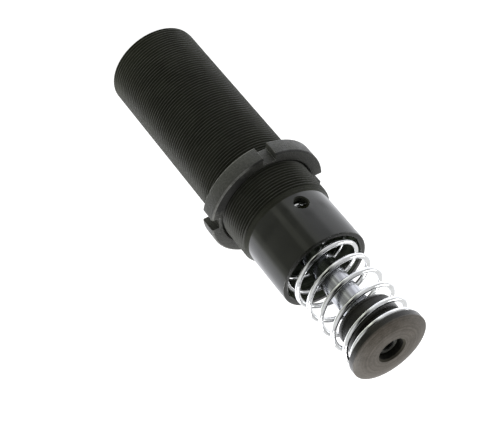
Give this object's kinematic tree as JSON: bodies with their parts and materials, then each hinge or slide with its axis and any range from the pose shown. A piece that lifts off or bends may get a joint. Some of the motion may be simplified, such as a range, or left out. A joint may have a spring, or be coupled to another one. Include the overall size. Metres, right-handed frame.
{
  "type": "hydraulic shock absorber",
  "caption": "Self-compensating hydraulic shock absorber: threaded cylindrical body with a slotted lock ring, chromed piston rod in an external return spring, and a round crowned button.",
  "frame": {"origin": "centre of the flat rear face of the body, which is the lowest face", "axes": "+Z runs along the rod from the rear face to the button; the vent hole in the collar faces -Y"},
  "size_m": [0.0576, 0.0576, 0.1968],
  "materials": {
    "black_oxide": "satin black oxide on a fine machined thread",
    "ring_black": "matte black oxide, slightly lighter than the body",
    "zinc_steel": "zinc plated",
    "copper_seal": "soft copper, satin",
    "tube_steel": "honed bore, ground outside",
    "foam": "closed-cell foam",
    "gland_steel": "fine turned, oiled",
    "bronze": "bearing bronze, satin",
    "seal": "smooth polyurethane",
    "wiper": "smooth black",
    "o_ring": "smooth black",
    "spring_steel": "phosphated spring steel",
    "spring_wire": "bright plated wire with drawing marks",
    "seat_steel": "pressed, zinc plated",
    "rod_chrome": "ground and hard-chromed",
    "piston_iron": "turned",
    "ring_iron": "ground",
    "nut_steel": "zinc plated",
    "button_steel": "satin dark brown-grey oxide",
    "screw_steel": "grey, satin",
    "washer_steel": "grey, satin"
  },
  "bodies": {
    "housing": {"outer_body": "black_oxide", "fill_plug": "zinc_steel", "fill_plug_seal": "copper_seal", "pressure_tube": "tube_steel", "foam_accumulator": "foam", "rod_gland": "gland_steel", "guide_bush": "bronze", "rod_seal": "seal", "rod_wiper": "wiper", "gland_o_ring": "o_ring", "retaining_ring": "spring_steel", "spring_seat": "seat_steel", "return_spring": "spring_wire"},
    "rod": {"piston_rod": "rod_chrome", "piston": "piston_iron", "piston_ring": "ring_iron", "check_plate": "nut_steel", "piston_nut": "nut_steel", "rod_button": "button_steel", "button_screw": "screw_steel", "screw_washer": "washer_steel"},
    "lock_ring": {"lock_ring": "ring_black"}
  },
  "joints": [
    {"name": "rod_slide", "type": "slide", "parent": "housing", "child": "rod", "axis": [0, 0, 1], "range_m": [-0.0486, 0], "stiffness_N_per_m": 597, "springref_m": 0.1156, "deforming": ["return_spring"]},
    {"name": "lock_ring_slide", "type": "slide", "parent": "housing", "child": "lock_ring", "axis": [0, 0, 1], "range_m": [-0.092, 0.015]}
  ]
}
